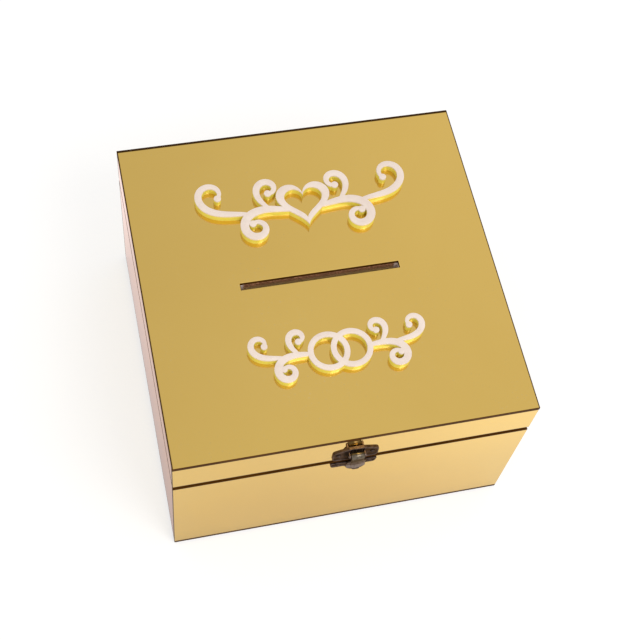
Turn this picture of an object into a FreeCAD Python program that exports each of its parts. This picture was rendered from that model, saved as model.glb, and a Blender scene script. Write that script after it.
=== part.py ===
import FreeCAD
import Part
import math
import os

# A hinged card box: stained boards clad in gold mirror sheets, with a card slot in the lid.
# Millimetres; X to the right, Y to the back, Z up; the origin is the centre of the underside.

# Outside of the box, measured over the mirror sheets
box_width = 250.0
box_depth = 250.0
box_height = 150.0
lid_height = 35.3

# Boards, and the mirror sheets glued on them
board_thickness = 6.0
top_board_thickness = 8.0
floor_thickness = 4.0
mirror_thickness = 3.0
seam_clearance = 0.3  # between the lid's boards and the base's boards
seam_reveal = 4.6  # bare band between the lid's sheets and the base's sheets
table_reveal = 0.4  # the base's sheets end this far above the table

# Card slot through the lid
slot_length = 114.0
slot_width = 5.5
slot_centre_y = -0.4

# Butt hinges on the back
hinge_inset = 50.0  # from a side of the box to the middle of a hinge
leaf_width = 30.0
leaf_height = 13.0
leaf_thickness = 0.9
knuckle_radius = 1.9
hinge_pin_radius = 1.0
knuckle_gap = 0.3  # between neighbouring knuckles, and from a knuckle to the other leaf
pin_clearance = 0.05  # radial, in the knuckles and in the latch
pin_projection = 0.3  # each end of a pin past what holds it

# Screws of the hinges
screw_shank_radius = 0.95
screw_head_radius = 1.8
screw_crown = 0.25
screw_length = 7.6
screw_inset = 5.5  # from the end of a leaf
screw_slot_width = 0.5
screw_slot_depth = 0.4
fastener_clearance = 0.05  # radial, round screws and nails

# Latch on the front, measured from the seam
latch_x = -0.8
plate_thickness = 1.2
plate_rim = 1.1
plate_relief = 0.4
plate_corner = 1.2
wing_corner = 3.4
lid_plate_width = 32.0
lid_plate_bottom = 2.6
lid_wing_top = 15.2
lid_crest_top = 19.2
lid_crest_width = 10.0
catch_plate_width = 33.4
catch_plate_top = 2.6
catch_wing_bottom = 9.0
catch_point_bottom = 11.6
catch_point_width = 9.0
catch_bump_radius = 1.3
catch_bump_width = 5.0
catch_bump_drop = 5.4

# Tongue of the latch, which swings on a pin between two lugs
pivot_rise = 15.0  # above the seam
tongue_barrel_radius = 2.8
lug_radius = 1.5
lug_width = 1.1
latch_pin_radius = 0.8
latch_gap = 0.3
tongue_width = 9.0  # at its barrel
tongue_flank_width = 13.6
tongue_tip_width = 6.4
tongue_rib_width = 8.0
tongue_rib_tip_width = 5.4
tongue_rib_height = 0.6  # how far the rib stands out from the flanks
tongue_drop = 18.5  # from the pivot to the tip
tongue_thickness = 1.4
tongue_seat = 0.15  # how far the tongue's outside starts within the round of its barrel
tongue_waist = 0.4  # how far the tongue stands out past the pivot where it is closest to the front
tongue_flare = 2.2  # how far the tip stands out past the pivot
tongue_shoulder_share = 0.2  # shares of the drop: where the tongue leaves its barrel and widens,
tongue_middle_share = 0.5  # where it is half way to the waist, and at its full width,
tongue_taper_share = 0.67  # where its rib starts to narrow,
tongue_waist_share = 0.75  # where its waist is
tongue_flank_share = 0.88  # and where its flanks start to narrow

# Nails of the latch
nail_shank_radius = 0.6
nail_head_radius = 1.6
nail_head_height = 0.9
nail_length = 6.5
lid_nail_spacing = 23.6
lid_nail_rise = 10.4
catch_nail_spacing = 22.4
catch_nail_drop = 5.8

# Cut acrylic ornaments on the lid: a coloured backing with a white face
backing_thickness = 4.6
face_thickness = 1.2
upper_ornament_y = 59.0
lower_ornament_y = -61.5
heart_width = 39.0
heart_opening = 27.4
ring_radius = 14.5
ring_band = 4.0
ring_offset = 8.0  # from the centre of the pair to the centre of a ring
upper_ball_radius = 2.6
lower_ball_radius = 2.3

# Scrolls of the right half of each ornament: a stem that starts on the heart or the ring, and
# branches that start on the stem. Starts are distances along the stem, turns are degrees from the
# stem, or from X for a stem, curls are the degrees that a line as bent all along as it is at its
# start, or at its end, would turn, and widths are at the start, the middle and the end.
heart_root = 0.67  # where the stem starts, as a share of the way from the notch to the point
upper_stem = {"turn": 6.0, "length": 77.0, "curls": (97.0, -904.0), "widths": (3.0, 6.2, 2.6)}
upper_branches = [
    {"start": 14.5, "turn": 43.0, "length": 46.0, "curls": (0.0, 646.0), "widths": (2.0, 5.0, 2.4)},
    {"start": 30.0, "turn": 50.0, "length": 72.0, "curls": (-136.0, 734.0), "widths": (2.4, 5.2, 2.4)},
]
lower_stem = {"turn": 2.0, "length": 57.0, "curls": (72.0, -898.0), "widths": (2.6, 5.2, 2.4)}
lower_branches = [
    {"start": 7.5, "turn": 47.0, "length": 33.5, "curls": (0.0, 624.0), "widths": (2.0, 4.4, 2.2)},
    {"start": 17.5, "turn": 38.0, "length": 45.0, "curls": (-129.0, 709.0), "widths": (2.0, 4.4, 2.2)},
]
curve_steps = 36  # points along a scroll, half a heart or the tongue

# Places that follow from the sizes above
half_width = box_width / 2
half_depth = box_depth / 2
core_half_width = half_width - mirror_thickness
core_half_depth = half_depth - mirror_thickness
seam_z = box_height - lid_height
base_board_top = seam_z - seam_clearance / 2
lid_board_bottom = seam_z + seam_clearance / 2
base_sheet_top = seam_z - seam_reveal / 2
lid_sheet_bottom = seam_z + seam_reveal / 2
lid_sheet_top = box_height - mirror_thickness
lid_board_top = lid_sheet_top - top_board_thickness
hinge_x = half_width - hinge_inset
hinge_axis_y = half_depth + knuckle_radius
leaf_start = knuckle_radius + knuckle_gap  # from the hinge axis to the flat of a leaf
pivot_out = plate_thickness + tongue_barrel_radius + latch_gap  # from the front to the latch's pin

front_place = FreeCAD.Placement(
    FreeCAD.Vector(latch_x, -half_depth, seam_z),
    FreeCAD.Rotation(FreeCAD.Vector(1, 0, 0), 90),
)


def block(x0, x1, y0, y1, z0, z1):
    return Part.makeBox(x1 - x0, y1 - y0, z1 - z0, FreeCAD.Vector(x0, y0, z0))


def rod(radius, x0, x1, y, z):
    return Part.makeCylinder(radius, x1 - x0, FreeCAD.Vector(x0, y, z), FreeCAD.Vector(1, 0, 0))


def rounded_face(corners):
    # A flat face from corners given as x, y and corner radius
    starts = []
    edges = []
    count = len(corners)
    for index, (x, y, radius) in enumerate(corners):
        corner = FreeCAD.Vector(x, y, 0)
        before = FreeCAD.Vector(corners[index - 1][0], corners[index - 1][1], 0) - corner
        after_corner = corners[(index + 1) % count]
        after = FreeCAD.Vector(after_corner[0], after_corner[1], 0) - corner
        before.normalize()
        after.normalize()
        half_angle = before.getAngle(after) / 2
        reach = radius / math.tan(half_angle)
        bisector = before + after
        bisector.normalize()
        middle = corner + bisector * (radius / math.sin(half_angle) - radius)
        starts.append((corner + before * reach, middle, corner + after * reach))
    for index, (first, middle, last) in enumerate(starts):
        edges.append(Part.Arc(first, middle, last).toShape())
        next_first = starts[(index + 1) % count][0]
        edges.append(Part.makeLine(last, next_first))
    return Part.Face(Part.Wire(edges))


def mirrored(corners):
    # Corners of the right half, from bottom to top, completed with the left half
    left = [(-x, y, radius) for x, y, radius in reversed(corners)]
    return corners + left


def ribbon_face(points, widths):
    # A band of changing width along a line of points, with round ends
    last = len(points) - 1
    left = []
    right = []
    for index, point in enumerate(points):
        along = points[min(index + 1, last)] - points[max(index - 1, 0)]
        along.normalize()
        side = FreeCAD.Vector(-along.y, along.x, 0) * (widths[index] / 2)
        left.append(point + side)
        right.append(point - side)
    start_along = points[1] - points[0]
    start_along.normalize()
    end_along = points[last] - points[last - 1]
    end_along.normalize()
    start_tip = points[0] - start_along * (widths[0] / 2)
    end_tip = points[last] + end_along * (widths[last] / 2)
    left_curve = Part.BSplineCurve()
    left_curve.interpolate(left)
    right_curve = Part.BSplineCurve()
    right_curve.interpolate(right[::-1])
    edges = [
        left_curve.toShape(),
        Part.Arc(left[last], end_tip, right[last]).toShape(),
        right_curve.toShape(),
        Part.Arc(right[0], start_tip, left[0]).toShape(),
    ]
    return Part.Face(Part.Wire(edges))


def wall_set(half_x, half_y, thickness, z0, z1):
    # Four upright walls: front and back run the full width, the sides stand between them
    return {
        "front": block(-half_x, half_x, -half_y, thickness - half_y, z0, z1),
        "back": block(-half_x, half_x, half_y - thickness, half_y, z0, z1),
        "left": block(-half_x, thickness - half_x, thickness - half_y, half_y - thickness, z0, z1),
        "right": block(half_x - thickness, half_x, thickness - half_y, half_y - thickness, z0, z1),
    }


def card_slot():
    low_y = slot_centre_y - slot_width / 2
    high_y = slot_centre_y + slot_width / 2
    return block(-slot_length / 2, slot_length / 2, low_y, high_y, lid_board_bottom, box_height)


def panel(half_x, half_y, z0, z1):
    return block(-half_x, half_x, -half_y, half_y, z0, z1)


def turned(edges):
    # A solid of revolution about Z from the edges of a half section that starts and ends on Z
    first = edges[0].Vertexes[0].Point
    last = edges[-1].Vertexes[-1].Point
    closed = Part.Wire(edges + [Part.makeLine(last, first)])
    return Part.Face(closed).revolve(FreeCAD.Vector(0, 0, 0), FreeCAD.Vector(0, 0, 1), 360)


def crown_arc(radius, height, z):
    # The upper half section of a low round head whose rim lies at height z
    ball = (radius * radius + height * height) / (2 * height)
    half_turn = math.asin(radius / ball) / 2
    middle_x = ball * math.sin(half_turn)
    middle_z = z + height - ball + ball * math.cos(half_turn)
    top = FreeCAD.Vector(0, 0, z + height)
    middle = FreeCAD.Vector(middle_x, 0, middle_z)
    return Part.Arc(top, middle, FreeCAD.Vector(radius, 0, z)).toShape()


def section_lines(points):
    corners = [FreeCAD.Vector(x, 0, z) for x, z in points]
    return [Part.makeLine(corners[i], corners[i + 1]) for i in range(len(corners) - 1)]


def nail():
    # Head upwards, with the underside of the head at z = 0
    point_start = nail_shank_radius * 2 - nail_length
    lines = section_lines([
        (nail_head_radius, 0),
        (nail_shank_radius, 0),
        (nail_shank_radius, point_start),
        (0, -nail_length),
    ])
    return turned([crown_arc(nail_head_radius, nail_head_height, 0)] + lines)


def screw_core(spread):
    # Countersunk screw without its crown, head upwards and flush at z = 0
    shank = screw_shank_radius + spread
    head = screw_head_radius + spread
    return turned(section_lines([
        (0, 0),
        (head, 0),
        (shank, -leaf_thickness),
        (shank, shank * 2 - screw_length),
        (0, -screw_length - spread),
    ]))


def screw():
    crown = turned([crown_arc(screw_head_radius, screw_crown, 0)] + section_lines([
        (screw_head_radius, 0),
        (0, 0),
    ]))
    half_slot = screw_slot_width / 2
    reach = screw_head_radius * 2
    slot = block(-reach, reach, -half_slot, half_slot, screw_crown - screw_slot_depth, screw_crown)
    return screw_core(0).fuse(crown).removeSplitter().cut(slot)


def nail_hole():
    radius = nail_shank_radius + fastener_clearance
    return Part.makeCylinder(radius, nail_length, FreeCAD.Vector(0, 0, -nail_length))


def nail_spots(spacing, height):
    # Places of a pair of nails on the latch, at the face of a plate
    return [
        FreeCAD.Placement(FreeCAD.Vector(side * spacing / 2, height, plate_thickness), FreeCAD.Rotation())
        for side in (-1, 1)
    ]


def placed(shape, *placements):
    result = shape.copy()
    for placement in placements:
        result.Placement = placement.multiply(result.Placement)
    return result


def screw_spots(direction):
    # Places of the screws of one row of leaves; direction is up for the lid, down for the base
    turn = FreeCAD.Rotation(FreeCAD.Vector(0, 0, 1), FreeCAD.Vector(0, 1, 0))
    z = seam_z + direction * (leaf_start + leaf_height) / 2
    reach = leaf_width / 2 - screw_inset
    spots = []
    for middle_x in (-hinge_x, hinge_x):
        for x in (middle_x - reach, middle_x + reach):
            place = FreeCAD.Vector(x, half_depth + leaf_thickness, z)
            spots.append(FreeCAD.Placement(place, turn))
    return spots


lid_nail_spots = nail_spots(lid_nail_spacing, lid_nail_rise)
catch_nail_spots = nail_spots(catch_nail_spacing, -catch_nail_drop)


def nail_holes(spots):
    return [placed(nail_hole(), spot, front_place) for spot in spots]


def screw_holes(direction):
    return [placed(screw_core(fastener_clearance), spot) for spot in screw_spots(direction)]


def hinge_leaf(middle_x, direction, knuckles):
    # One leaf with its knuckles, given as pairs of ends along the pin
    near = seam_z + direction * leaf_start
    far = seam_z + direction * leaf_height
    low_x = middle_x - leaf_width / 2
    face_y = half_depth + leaf_thickness
    leaf = block(low_x, low_x + leaf_width, half_depth, face_y, min(near, far), max(near, far))
    for start, end in knuckles:
        barrel = rod(knuckle_radius, low_x + start, low_x + end, hinge_axis_y, seam_z)
        low_z = min(seam_z, near)
        strap = block(low_x + start, low_x + end, half_depth, face_y, low_z, low_z + leaf_start)
        leaf = leaf.fuse(barrel).fuse(strap)
    bore = rod(hinge_pin_radius + pin_clearance, low_x, low_x + leaf_width, hinge_axis_y, seam_z)
    leaf = leaf.removeSplitter().cut(bore)
    return leaf.cut(screw_holes(direction))


def hinge(middle_x):
    third = leaf_width / 3
    outer = [(0, third - knuckle_gap / 2), (2 * third + knuckle_gap / 2, leaf_width)]
    middle = [(third + knuckle_gap / 2, 2 * third - knuckle_gap / 2)]
    reach = leaf_width / 2 + pin_projection
    pin = rod(hinge_pin_radius, middle_x - reach, middle_x + reach, hinge_axis_y, seam_z)
    return {
        "base_leaf": hinge_leaf(middle_x, -1, outer),
        "lid_leaf": hinge_leaf(middle_x, 1, middle),
        "pin": pin,
    }


def rimmed_plate(face):
    # A stamped plate whose middle lies lower than its rim
    plate = face.extrude(FreeCAD.Vector(0, 0, plate_thickness))
    pocket = face.makeOffset2D(-plate_rim).extrude(FreeCAD.Vector(0, 0, plate_relief))
    pocket.translate(FreeCAD.Vector(0, 0, plate_thickness - plate_relief))
    return plate.cut(pocket)


def nail_seats(spots):
    # Flat seats in the lowered middle of a plate, one under each nail
    seats = []
    for spot in spots:
        seat = Part.makeCylinder(nail_head_radius, plate_thickness)
        seat.translate(FreeCAD.Vector(spot.Base.x, spot.Base.y, 0))
        seats.append(seat)
    return seats


def latch_lid_plate():
    half = lid_plate_width / 2
    crest = lid_crest_width / 2
    outline = rounded_face(mirrored([
        (half, lid_plate_bottom, wing_corner),
        (half, lid_wing_top, wing_corner),
        (crest, lid_crest_top, wing_corner),
    ]))
    plate = rimmed_plate(outline).multiFuse(nail_seats(lid_nail_spots))
    for side in (-1, 1):
        inner = tongue_width / 2 + latch_gap
        start = min(side * inner, side * (inner + lug_width))
        barrel = rod(lug_radius, start, start + lug_width, pivot_rise, pivot_out)
        low = pivot_rise - lug_radius
        high = pivot_rise + lug_radius
        web = block(start, start + lug_width, low, high, 0, pivot_out)
        plate = plate.fuse(barrel).fuse(web)
    reach = tongue_width
    bore = rod(latch_pin_radius + pin_clearance, -reach, reach, pivot_rise, pivot_out)
    plate = placed(plate.removeSplitter().cut(bore), front_place)
    return plate.cut(nail_holes(lid_nail_spots))


def latch_catch_plate():
    half = catch_plate_width / 2
    point = catch_point_width / 2
    outline = rounded_face(mirrored([
        (point, -catch_point_bottom, plate_corner),
        (point + plate_corner * 2, -catch_wing_bottom, plate_corner),
        (half - plate_corner, -catch_wing_bottom, plate_corner * 2),
        (half, -catch_plate_top, plate_corner),
    ]))
    bump_end = catch_bump_width / 2
    bump_top = plate_thickness + catch_bump_radius
    bump = rod(catch_bump_radius, -bump_end, bump_end, -catch_bump_drop, plate_thickness)
    bump = bump.common(block(-half, half, -catch_point_bottom, 0, plate_thickness / 2, bump_top))
    plate = rimmed_plate(outline).multiFuse(nail_seats(catch_nail_spots) + [bump])
    return placed(plate.removeSplitter(), front_place).cut(nail_holes(catch_nail_spots))


def latch_pin():
    reach = tongue_width / 2 + latch_gap + lug_width + pin_projection
    return placed(rod(latch_pin_radius, -reach, reach, pivot_rise, pivot_out), front_place)


def tongue_line(step_back):
    # Side view of the tongue from its pivot to its tip, as drop and distance from the pivot
    crown = tongue_barrel_radius - tongue_thickness / 2 - tongue_seat
    shares = [
        (0, crown),
        (tongue_shoulder_share, crown),
        (tongue_middle_share, (crown + tongue_waist) / 2),
        (tongue_waist_share, tongue_waist),
        (1, tongue_flare),
    ]
    points = []
    for drop, stand in shares:
        out = pivot_out + stand - step_back
        points.append(FreeCAD.Vector(pivot_rise - drop * tongue_drop, out, 0))
    line = Part.BSplineCurve()
    line.interpolate(points)
    return line.discretize(curve_steps)


def tongue_layer(step_back, corners):
    # A bent strip of the tongue, cut to the outline of which corners gives the right half
    # the side view is turned so that its drop runs along Y and its stand along Z
    side = ribbon_face(tongue_line(step_back), [tongue_thickness] * curve_steps)
    turn = FreeCAD.Rotation(FreeCAD.Vector(1, 1, 1), 120)
    side.Placement = FreeCAD.Placement(FreeCAD.Vector(-tongue_flank_width / 2, 0, 0), turn)
    strip = side.extrude(FreeCAD.Vector(tongue_flank_width, 0, 0))
    window = rounded_face(mirrored(corners)).extrude(FreeCAD.Vector(0, 0, pivot_out * 4))
    return strip.common(window)


def latch_tongue():
    tip = pivot_rise - tongue_drop - tongue_thickness
    top = pivot_rise + tongue_barrel_radius * 2
    flanks = tongue_layer(tongue_rib_height, [
        (tongue_tip_width / 2, tip, plate_corner),
        (tongue_flank_width / 2, pivot_rise - tongue_drop * tongue_flank_share, plate_corner),
        (tongue_flank_width / 2, pivot_rise - tongue_drop * tongue_middle_share, plate_corner),
        (tongue_width / 2, pivot_rise - tongue_drop * tongue_shoulder_share, plate_corner),
        (tongue_width / 2, top, plate_corner),
    ])
    rib = tongue_layer(0, [
        (tongue_rib_tip_width / 2, tip, plate_corner),
        (tongue_rib_width / 2, pivot_rise - tongue_drop * tongue_taper_share, plate_corner),
        (tongue_rib_width / 2, top, plate_corner),
    ])
    barrel = rod(tongue_barrel_radius, -tongue_width / 2, tongue_width / 2, pivot_rise, pivot_out)
    bore = rod(latch_pin_radius + pin_clearance, -tongue_width, tongue_width, pivot_rise, pivot_out)
    tongue = barrel.multiFuse([flanks, rib]).removeSplitter().cut(bore)
    return placed(tongue, front_place)


def scroll_line(root, heading, length, curls):
    # Points, and headings in degrees, of a line whose bend changes evenly along its length
    step = length / curve_steps
    points = [root]
    headings = [heading]
    for index in range(curve_steps):
        share = (index + 0.5) / curve_steps
        turn = (curls[0] * (1 - share) + curls[1] * share) / curve_steps
        angle = math.radians(headings[-1] + turn / 2)
        points.append(points[-1] + FreeCAD.Vector(math.cos(angle), math.sin(angle), 0) * step)
        headings.append(headings[-1] + turn)
    return points, headings


def scroll_widths(widths):
    # Widths along a scroll, smooth through those of its start, middle and end
    first, middle, last = widths
    swell = 4 * middle - first - last
    result = []
    for index in range(curve_steps + 1):
        share = index / curve_steps
        result.append(first * (1 - share) ** 2 + swell * share * (1 - share) + last * share ** 2)
    return result


def disc(centre, radius):
    return Part.Face(Part.Wire(Part.makeCircle(radius, centre)))


def scroll_faces(root, stem, branches, ball_radius):
    # Stem and branches of one half, each ending in a ball, and their mirror images
    stem_points, stem_headings = scroll_line(root, stem["turn"], stem["length"], stem["curls"])
    lines = [(stem_points, stem["widths"])]
    for branch in branches:
        index = round(branch["start"] / stem["length"] * curve_steps)
        heading = stem_headings[index] + branch["turn"]
        line = scroll_line(stem_points[index], heading, branch["length"], branch["curls"])
        lines.append((line[0], branch["widths"]))
    faces = []
    for points, widths in lines:
        for face in (ribbon_face(points, scroll_widths(widths)), disc(points[-1], ball_radius)):
            faces.append(face)
            faces.append(face.mirror(FreeCAD.Vector(0, 0, 0), FreeCAD.Vector(1, 0, 0)))
    return faces


def heart_point(width, share):
    # A point of the heart curve, from its notch at share 0 to its point at share 1
    turn = math.pi * share
    x = 16 * math.sin(turn) ** 3
    y = 13 * math.cos(turn) - 5 * math.cos(2 * turn) - 2 * math.cos(3 * turn) - math.cos(4 * turn)
    return FreeCAD.Vector(x, y, 0) * (width / 32)


def heart_face(width):
    half = [heart_point(width, index / curve_steps) for index in range(curve_steps + 1)]
    right = Part.BSplineCurve()
    right.interpolate(half)
    left = Part.BSplineCurve()
    left.interpolate([FreeCAD.Vector(-point.x, point.y, 0) for point in reversed(half)])
    return Part.Face(Part.Wire([right.toShape(), left.toShape()]))


def ornament(faces, centre_y):
    # Backing and face of one ornament, cut to the same outline
    layers = {}
    levels = {"backing": (0, backing_thickness), "face": (backing_thickness, face_thickness)}
    for layer, (level, thickness) in levels.items():
        up = FreeCAD.Vector(0, 0, thickness)
        solids = [face.extrude(up) for face in faces]
        shape = solids[0].multiFuse(solids[1:]).removeSplitter()
        shape.translate(FreeCAD.Vector(0, centre_y, box_height + level))
        layers[layer] = shape
    return layers


def upper_ornament():
    heart = heart_face(heart_width).cut(heart_face(heart_opening))
    root = (heart_point(heart_width, heart_root) + heart_point(heart_opening, heart_root)) / 2
    scrolls = scroll_faces(root, upper_stem, upper_branches, upper_ball_radius)
    return ornament([heart] + scrolls, upper_ornament_y)


def lower_ornament():
    rings = []
    for side in (-1, 1):
        centre = FreeCAD.Vector(side * ring_offset, 0, 0)
        rings.append(disc(centre, ring_radius).cut(disc(centre, ring_radius - ring_band)))
    root = FreeCAD.Vector(ring_offset + ring_radius - ring_band / 2, 0, 0)
    scrolls = scroll_faces(root, lower_stem, lower_branches, lower_ball_radius)
    return ornament(rings + scrolls, lower_ornament_y)


def box_parts():
    # Boards and mirror sheets of the base and the lid, drilled for the fasteners
    core = (core_half_width, core_half_depth)
    outside = (half_width, half_depth)
    base_boards = wall_set(*core, board_thickness, floor_thickness, base_board_top)
    base_sheets = wall_set(*outside, mirror_thickness, table_reveal, base_sheet_top)
    lid_boards = wall_set(*core, board_thickness, lid_board_bottom, lid_board_top)
    lid_sheets = wall_set(*outside, mirror_thickness, lid_sheet_bottom, lid_sheet_top)
    parts = {
        "floor_panel": panel(*core, 0, floor_thickness),
        "lid_top_board": panel(*core, lid_board_top, lid_sheet_top).cut(card_slot()),
        "lid_top_mirror": panel(*outside, lid_sheet_top, box_height).cut(card_slot()),
    }
    drillings = {
        ("base", "front"): nail_holes(catch_nail_spots),
        ("base", "back"): screw_holes(-1),
        ("lid", "front"): nail_holes(lid_nail_spots),
        ("lid", "back"): screw_holes(1),
    }
    layers = [
        ("base", "board", base_boards),
        ("base", "mirror", base_sheets),
        ("lid", "board", lid_boards),
        ("lid", "mirror", lid_sheets),
    ]
    for half, layer, walls in layers:
        for side, wall in walls.items():
            holes = drillings.get((half, side), [])
            parts[f"{half}_{side}_{layer}"] = wall.cut(holes) if holes else wall
    return parts


def hardware_parts():
    parts = {
        "latch_lid_plate": latch_lid_plate(),
        "latch_catch_plate": latch_catch_plate(),
        "latch_pin": latch_pin(),
        "latch_tongue": latch_tongue(),
    }
    for side, middle_x in (("left", -hinge_x), ("right", hinge_x)):
        for piece, shape in hinge(middle_x).items():
            parts[f"{side}_hinge_{piece}"] = shape
    groups = {
        "latch_lid_nails": [placed(nail(), spot, front_place) for spot in lid_nail_spots],
        "latch_catch_nails": [placed(nail(), spot, front_place) for spot in catch_nail_spots],
        "hinge_base_screws": [placed(screw(), spot) for spot in screw_spots(-1)],
        "hinge_lid_screws": [placed(screw(), spot) for spot in screw_spots(1)],
    }
    for name, solids in groups.items():
        parts[name] = Part.makeCompound(solids)
    return parts


def ornament_parts():
    parts = {}
    for place, layers in (("upper", upper_ornament()), ("lower", lower_ornament())):
        for layer, shape in layers.items():
            parts[f"{place}_ornament_{layer}"] = shape
    return parts


os.makedirs("parts", exist_ok=True)
for group in (box_parts(), hardware_parts(), ornament_parts()):
    for name, shape in group.items():
        shape.exportStep(f"parts/{name}.step")
        print(name, len(shape.Solids), round(shape.Volume, 2), shape.isValid())
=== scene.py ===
import math

import bmesh
import bpy
import numpy
from mathutils import Matrix, Vector
from mathutils.geometry import delaunay_2d_cdt, intersect_line_line_2d


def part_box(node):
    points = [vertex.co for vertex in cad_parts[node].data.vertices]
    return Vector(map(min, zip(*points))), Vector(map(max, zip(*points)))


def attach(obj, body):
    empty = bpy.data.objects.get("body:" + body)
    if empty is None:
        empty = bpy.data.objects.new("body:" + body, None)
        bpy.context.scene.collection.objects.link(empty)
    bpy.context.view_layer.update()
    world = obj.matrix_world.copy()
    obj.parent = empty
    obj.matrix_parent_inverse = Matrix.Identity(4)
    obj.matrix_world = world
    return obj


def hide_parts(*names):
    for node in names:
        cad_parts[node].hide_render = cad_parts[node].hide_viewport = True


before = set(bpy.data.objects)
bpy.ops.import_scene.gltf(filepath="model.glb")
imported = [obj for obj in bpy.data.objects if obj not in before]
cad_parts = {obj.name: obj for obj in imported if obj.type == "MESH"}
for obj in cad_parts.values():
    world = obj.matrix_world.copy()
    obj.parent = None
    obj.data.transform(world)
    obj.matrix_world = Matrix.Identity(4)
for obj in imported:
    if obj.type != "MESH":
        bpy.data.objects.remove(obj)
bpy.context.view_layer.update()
scene = bpy.context.scene
mm = 0.001
print("frame loaded:", len(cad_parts), "nodes")


def feed(node, inputs):
    # links and plain values to a node's sockets
    for key, value in inputs.items():
        if isinstance(value, bpy.types.NodeSocket):
            node.id_data.links.new(value, node.inputs[key])
        else:
            node.inputs[key].default_value = value


def addNode(tree, kind, inputs=None, **settings):
    node = tree.nodes.new(kind)
    for key, value in settings.items():
        setattr(node, key, value)
    feed(node, inputs or {})
    return node


def treeOf(*values):
    # the node tree of the first socket among these
    return next(value.id_data for value in values if isinstance(value, bpy.types.NodeSocket))


def mathNode(operation, first, second=0.0):
    node = addNode(treeOf(first, second), "ShaderNodeMath", {0: first, 1: second}, operation=operation)
    return node.outputs[0]


def scaled(value, factor):
    return mathNode("MULTIPLY", value, factor)


def added(first, second):
    return mathNode("ADD", first, second)


def rest(share):
    return mathNode("SUBTRACT", 1.0, share)


def summed(total, *parts):
    # each part is a mask and what it adds in full
    for mask, factor in parts:
        total = added(total, scaled(mask, factor))
    return total


def layered(colour, *coats):
    # each coat is its share and its colour
    for share, coat in coats:
        node = addNode(treeOf(share), "ShaderNodeMix", {0: share}, data_type="RGBA")
        for key, value in ((6, colour), (7, coat)):
            feed(node, {key: value if isinstance(value, bpy.types.NodeSocket) else (*value, 1.0)})
        colour = node.outputs[2]
    return colour


def spread(value, low, high, start=0.0, end=1.0):
    node = addNode(treeOf(value), "ShaderNodeMapRange", {0: value, 1: low, 2: high, 3: start, 4: end})
    node.interpolation_type = "SMOOTHSTEP"
    return node.outputs[0]


def noise(vector, scale, detail, **more):
    inputs = {"Vector": vector, "Scale": scale, "Detail": detail, **more}
    return addNode(treeOf(vector), "ShaderNodeTexNoise", inputs).outputs["Fac"]


def split(vector):
    return addNode(treeOf(vector), "ShaderNodeSeparateXYZ", {0: vector}).outputs


def stretched(vector, scale, turn=(0.0, 0.0, 0.0)):
    return addNode(treeOf(vector), "ShaderNodeMapping", {
        "Vector": vector, "Rotation": turn, "Scale": scale,
    }).outputs[0]


def makeGroup(name, pattern, outputs=("Mask",), **inputs):
    # inputs with no value are vectors
    tree = bpy.data.node_groups.new(name, "ShaderNodeTree")
    for label, value in inputs.items():
        kind = "NodeSocketVector" if value is None else "NodeSocketFloat"
        socket = tree.interface.new_socket(name=label, in_out="INPUT", socket_type=kind)
        if value is not None:
            socket.default_value = value
    for label in outputs:
        tree.interface.new_socket(name=label, in_out="OUTPUT", socket_type="NodeSocketFloat")
    made = pattern(tree.nodes.new("NodeGroupInput").outputs)
    feed(tree.nodes.new("NodeGroupOutput"), dict(zip(outputs, made)))
    return tree


def cloudPattern(given):
    # soft blotches: handling marks on the sheets, stain in the boards, patina on the metal
    blotches = noise(given["Vector"], given["Scale"], 5.0, Roughness=0.6, Distortion=0.6)
    return [spread(blotches, given["Low"], given["High"])]


def scratchPattern(given):
    # hair lines in two directions, broken up by a slower pattern
    lines = []
    for turn, stretch in ((0.5, 60.0), (-0.9, 75.0)):
        turned = stretched(given["Vector"], (1.0, stretch, stretch), (turn * 0.4, turn * 0.7, turn))
        near = mathNode("ABSOLUTE", mathNode("SUBTRACT", noise(turned, given["Scale"], 2.0), 0.5))
        thin = rest(mathNode("DIVIDE", near, given["Width"]))
        lines.append(mathNode("MAXIMUM", thin, 0.0))
    patches = spread(noise(given["Vector"], given["Scale"], 1.0), 0.52, 0.68)
    return [scaled(mathNode("MAXIMUM", *lines), patches)]


def wearPattern(given):
    # wear where hands reach: convex edges first, uneven along them
    uneven = noise(given["Vector"], given["Scale"], 4.0, Roughness=0.65)
    worn = scaled(given["Rubbed"], spread(uneven, 0.3, 0.65, 0.25, 1.0))
    return [scaled(worn, given["Amount"])]


def dustPattern(given):
    # fine specks that lie on faces turned up
    specks = spread(noise(given["Vector"], given["Scale"], 1.0), 0.66, 0.74)
    drift = spread(noise(given["Vector"], 14.0, 3.0), 0.4, 0.7)
    upward = spread(split(given["Normal"])["Z"], 0.3, 0.9)
    return [scaled(scaled(scaled(specks, drift), upward), given["Amount"])]


def grainPattern(given):
    # long grain with pores; the vector runs along the board in X
    sway = noise(stretched(given["Vector"], (0.07, 1.0, 1.0)), given["Scale"], 4.0, Distortion=1.1)
    pores = noise(stretched(given["Vector"], (0.03, 1.0, 1.0)), scaled(given["Scale"], 18.0), 2.0)
    return [spread(sway, 0.3, 0.7), spread(pores, 0.56, 0.72)]


effects = {
    "clouding": makeGroup("clouding", cloudPattern, Vector=None, Scale=10.0, Low=0.4, High=0.7),
    "scratches": makeGroup("hairScratches", scratchPattern, Vector=None, Scale=40.0, Width=0.05),
    "rubbed": makeGroup("rubbedEdges", wearPattern, Rubbed=0.0, Vector=None, Scale=300.0, Amount=0.6),
    "dust": makeGroup("settledDust", dustPattern, Vector=None, Normal=None, Scale=900.0, Amount=0.3),
    "grain": makeGroup("boardGrain", grainPattern, ("Tone", "Pores"), Vector=None, Scale=60.0),
}


def effect(name, **inputs):
    node = treeOf(*inputs.values()).nodes.new("ShaderNodeGroup")
    node.node_tree = effects[name]
    feed(node, inputs)
    return node.outputs


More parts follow.
